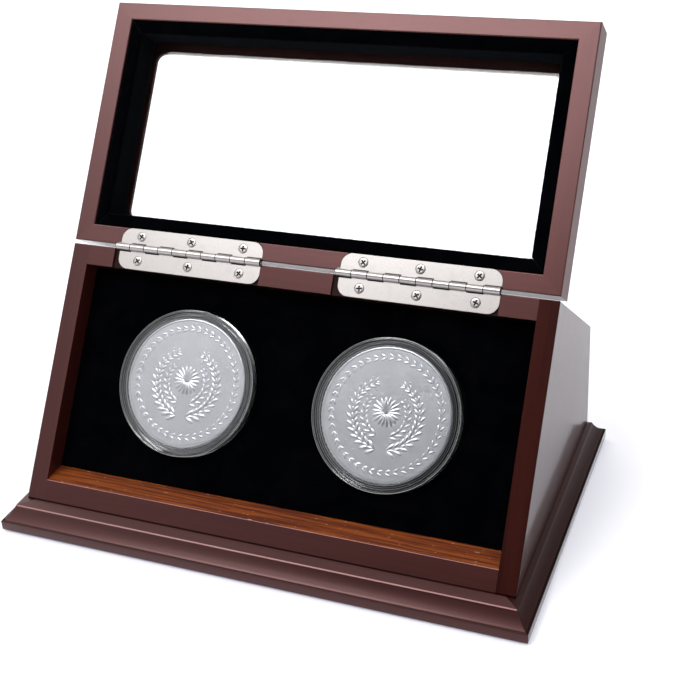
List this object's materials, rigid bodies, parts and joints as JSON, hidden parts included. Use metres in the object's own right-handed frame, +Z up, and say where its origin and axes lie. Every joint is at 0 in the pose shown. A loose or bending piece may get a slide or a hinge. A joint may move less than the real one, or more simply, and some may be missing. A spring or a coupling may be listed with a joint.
{
  "type": "coin display case",
  "caption": "Wedge-shaped wooden desk case on a moulded plinth: a glazed lid on butt hinges folds back from a velvet insert holding encapsulated coins.",
  "frame": {"origin": "centre of the plinth's underside, on the surface it stands on", "axes": "+X to the viewer's right along the hinges, +Y to the back, +Z up"},
  "size_m": [0.1716, 0.1126, 0.1439],
  "materials": {
    "felt": "matt felt",
    "wood": "satin mahogany lacquer",
    "board": "plain board",
    "velvet": "black velvet",
    "acrylic": "clear moulded",
    "silver": "frosted silver",
    "glass": "clear float glass",
    "nickel": "nickel plate"
  },
  "bodies": {
    "case": {"felt_base": "felt", "base_board": "board", "plinth_front": "wood", "plinth_right": "wood", "plinth_back": "wood", "plinth_left": "wood", "right_side_panel": "wood", "left_side_panel": "wood", "front_rail": "wood", "top_panel": "wood", "back_panel": "wood", "display_pad": "velvet", "display_board": "board", "left_cleat": "board", "right_cleat": "board", "left_hinge_case_leaf": "nickel", "right_hinge_case_leaf": "nickel", "left_hinge_pin": "nickel", "right_hinge_pin": "nickel", "case_hinge_screws": "nickel"},
    "lid": {"lid_hinge_rail": "wood", "lid_far_rail": "wood", "lid_left_stile": "wood", "lid_right_stile": "wood", "lid_lining_hinge": "velvet", "lid_lining_far": "velvet", "lid_lining_left": "velvet", "lid_lining_right": "velvet", "lid_glass": "glass", "left_hinge_lid_leaf": "nickel", "right_hinge_lid_leaf": "nickel", "lid_hinge_screws": "nickel"},
    "left_capsule": {"left_capsule_base": "acrylic", "left_coin": "silver"},
    "left_cover": {"left_capsule_cover": "acrylic"},
    "right_capsule": {"right_capsule_base": "acrylic", "right_coin": "silver"},
    "right_cover": {"right_capsule_cover": "acrylic"}
  },
  "joints": [
    {"name": "lid_hinge", "type": "hinge", "parent": "case", "child": "lid", "pos_m": [0, 0.00308, 0.07769], "axis": [1, 0, 0], "range_deg": [0, 180]},
    {"name": "left_capsule_lift", "type": "slide", "parent": "case", "child": "left_capsule", "axis": [0, 0.8192, -0.5736], "range_m": [-0.025, 0]},
    {"name": "left_cover_lift", "type": "slide", "parent": "left_capsule", "child": "left_cover", "axis": [0, 0.8192, -0.5736], "range_m": [-0.008, 0]},
    {"name": "right_capsule_lift", "type": "slide", "parent": "case", "child": "right_capsule", "axis": [0, 0.8192, -0.5736], "range_m": [-0.025, 0]},
    {"name": "right_cover_lift", "type": "slide", "parent": "right_capsule", "child": "right_cover", "axis": [0, 0.8192, -0.5736], "range_m": [-0.008, 0]}
  ]
}
